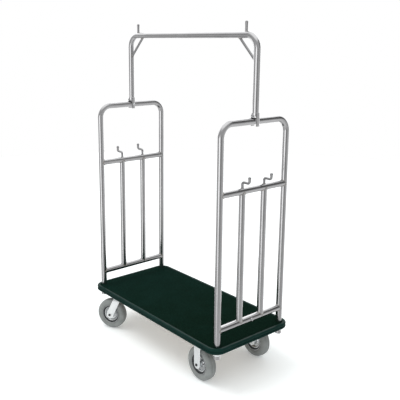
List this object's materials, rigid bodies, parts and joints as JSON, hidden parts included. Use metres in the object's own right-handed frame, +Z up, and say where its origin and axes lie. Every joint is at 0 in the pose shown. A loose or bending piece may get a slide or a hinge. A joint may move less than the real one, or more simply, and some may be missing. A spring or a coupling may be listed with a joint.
{
  "type": "hotel luggage cart",
  "caption": "Carpeted platform on two swivel and two rigid casters, with tubular end hoops, slats and coat hooks, joined by a raised hanging rail.",
  "frame": {"origin": "on the floor, under the middle of the platform", "axes": "+Z up, +X along the platform to the right-hand hoop, -Y the front long side"},
  "size_m": [1.2872, 0.6892, 2.043],
  "materials": {
    "stainless_tube": "satin stainless steel tube and rod with fine lengthwise polish",
    "zinc_steel": "bright zinc-plated pressed steel, slightly mottled",
    "zinc_rim": "bright zinc-plated pressed wheel rim",
    "tyre_rubber": "grey non-marking rubber, matte",
    "bumper_rubber": "dark green extruded bumper strip, satin",
    "deck_carpet": "dark green short-pile carpet",
    "deck_plywood": "sealed plywood"
  },
  "bodies": {
    "cart": {"left_hoop": "stainless_tube", "left_upper_crossbar": "stainless_tube", "left_lower_crossbar": "stainless_tube", "left_crossbar_button": "stainless_tube", "left_gusset": "stainless_tube", "left_peg": "stainless_tube", "left_saddle": "stainless_tube", "left_slat_front": "stainless_tube", "left_coat_hook_front": "stainless_tube", "left_post_collar_front": "zinc_steel", "left_slat_back": "stainless_tube", "left_coat_hook_back": "stainless_tube", "left_post_collar_back": "zinc_steel", "left_saddle_screw": "zinc_steel", "right_hoop": "stainless_tube", "right_upper_crossbar": "stainless_tube", "right_lower_crossbar": "stainless_tube", "right_crossbar_button": "stainless_tube", "right_gusset": "stainless_tube", "right_peg": "stainless_tube", "right_saddle": "stainless_tube", "right_slat_front": "stainless_tube", "right_coat_hook_front": "stainless_tube", "right_post_collar_front": "zinc_steel", "right_slat_back": "stainless_tube", "right_coat_hook_back": "stainless_tube", "right_post_collar_back": "zinc_steel", "right_saddle_screw": "zinc_steel", "hanging_rail": "stainless_tube", "deck_board": "deck_plywood", "deck_carpet": "deck_carpet", "deck_bumper": "bumper_rubber", "front_left_caster_plate": "zinc_steel", "front_left_caster_kingpin": "zinc_steel", "back_left_caster_plate": "zinc_steel", "back_left_caster_kingpin": "zinc_steel", "front_right_caster_plate": "zinc_steel", "front_right_caster_fork": "zinc_steel", "front_right_axle_bolt": "zinc_steel", "front_right_axle_nut": "zinc_steel", "back_right_caster_plate": "zinc_steel", "back_right_caster_fork": "zinc_steel", "back_right_axle_bolt": "zinc_steel", "back_right_axle_nut": "zinc_steel"},
    "front_left_caster": {"front_left_caster_fork": "zinc_steel", "front_left_axle_bolt": "zinc_steel", "front_left_axle_nut": "zinc_steel"},
    "front_left_wheel": {"front_left_wheel_rim": "zinc_rim", "front_left_tyre": "tyre_rubber"},
    "back_left_caster": {"back_left_caster_fork": "zinc_steel", "back_left_axle_bolt": "zinc_steel", "back_left_axle_nut": "zinc_steel"},
    "back_left_wheel": {"back_left_wheel_rim": "zinc_rim", "back_left_tyre": "tyre_rubber"},
    "front_right_wheel": {"front_right_wheel_rim": "zinc_rim", "front_right_tyre": "tyre_rubber"},
    "back_right_wheel": {"back_right_wheel_rim": "zinc_rim", "back_right_tyre": "tyre_rubber"}
  },
  "joints": [
    {"name": "front_left_swivel", "type": "hinge", "parent": "cart", "child": "front_left_caster", "pos_m": [-0.4025, -0.2525, 0.2], "axis": [0, 0, 1], "continuous": true},
    {"name": "front_left_roll", "type": "hinge", "parent": "front_left_caster", "child": "front_left_wheel", "pos_m": [-0.44644, -0.27636, 0.1016], "axis": [0.4772, -0.8788, 0], "continuous": true},
    {"name": "back_left_swivel", "type": "hinge", "parent": "cart", "child": "back_left_caster", "pos_m": [-0.4025, 0.2525, 0.2], "axis": [0, 0, 1], "continuous": true},
    {"name": "back_left_roll", "type": "hinge", "parent": "back_left_caster", "child": "back_left_wheel", "pos_m": [-0.44644, 0.27636, 0.1016], "axis": [-0.4772, -0.8788, 0], "continuous": true},
    {"name": "front_right_roll", "type": "hinge", "parent": "cart", "child": "front_right_wheel", "pos_m": [0.441, -0.24, 0.1016], "axis": [0, 1, 0], "continuous": true},
    {"name": "back_right_roll", "type": "hinge", "parent": "cart", "child": "back_right_wheel", "pos_m": [0.438, 0.212, 0.1016], "axis": [0, 1, 0], "continuous": true}
  ]
}
